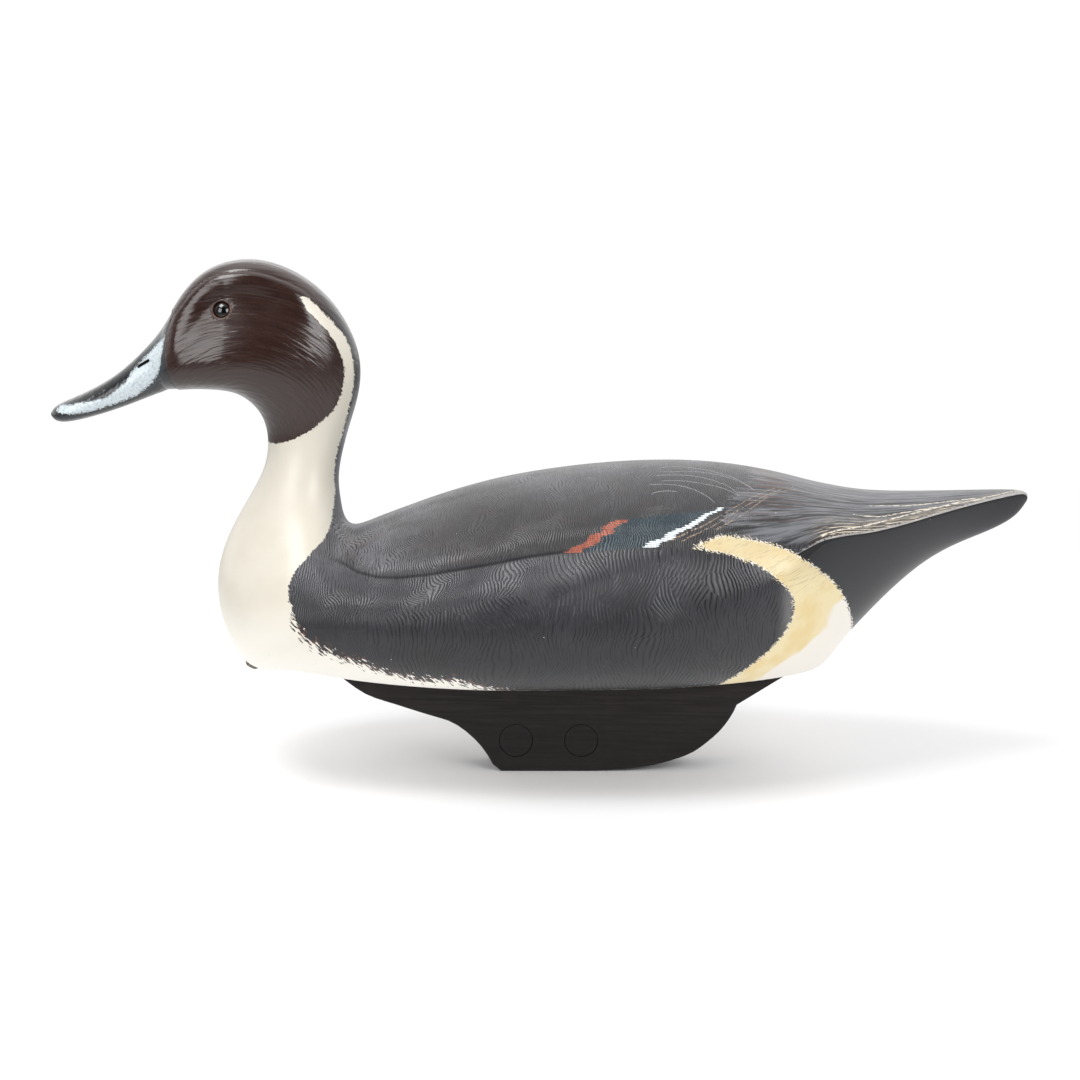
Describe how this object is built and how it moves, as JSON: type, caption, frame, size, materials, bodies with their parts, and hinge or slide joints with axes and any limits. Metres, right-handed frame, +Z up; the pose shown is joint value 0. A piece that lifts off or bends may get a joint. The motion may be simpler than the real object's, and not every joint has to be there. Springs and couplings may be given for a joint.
{
  "type": "duck decoy",
  "caption": "Carved and painted wooden drake pintail decoy with raised neck, long pointed tail and glass eyes, standing on a flat-footed, lead-weighted keel.",
  "frame": {"origin": "on the surface that the keel stands on, under the middle of the overall length", "axes": "+X towards the tail tip, +Y to the far side of the picture, +Z up; the bill points to -X"},
  "size_m": [0.48, 0.161, 0.2542],
  "materials": {
    "painted_carving": "satin oil paint in black, grey, brown and cream, hand combed, over carved wood",
    "keel_paint": "matte black-brown paint over wood",
    "keel_lead": "cast lead, filed flush and painted over with the keel",
    "eye_glass": "clear polished glass over a dark brown iris and black pupil",
    "tie_wire": "dull bare wire"
  },
  "bodies": {
    "root": {"carved_duck": "painted_carving", "keel": "keel_paint", "keel_weight_front": "keel_lead", "keel_weight_rear": "keel_lead", "eye_left": "eye_glass", "eye_right": "eye_glass", "line_tie": "tie_wire"}
  },
  "joints": []
}
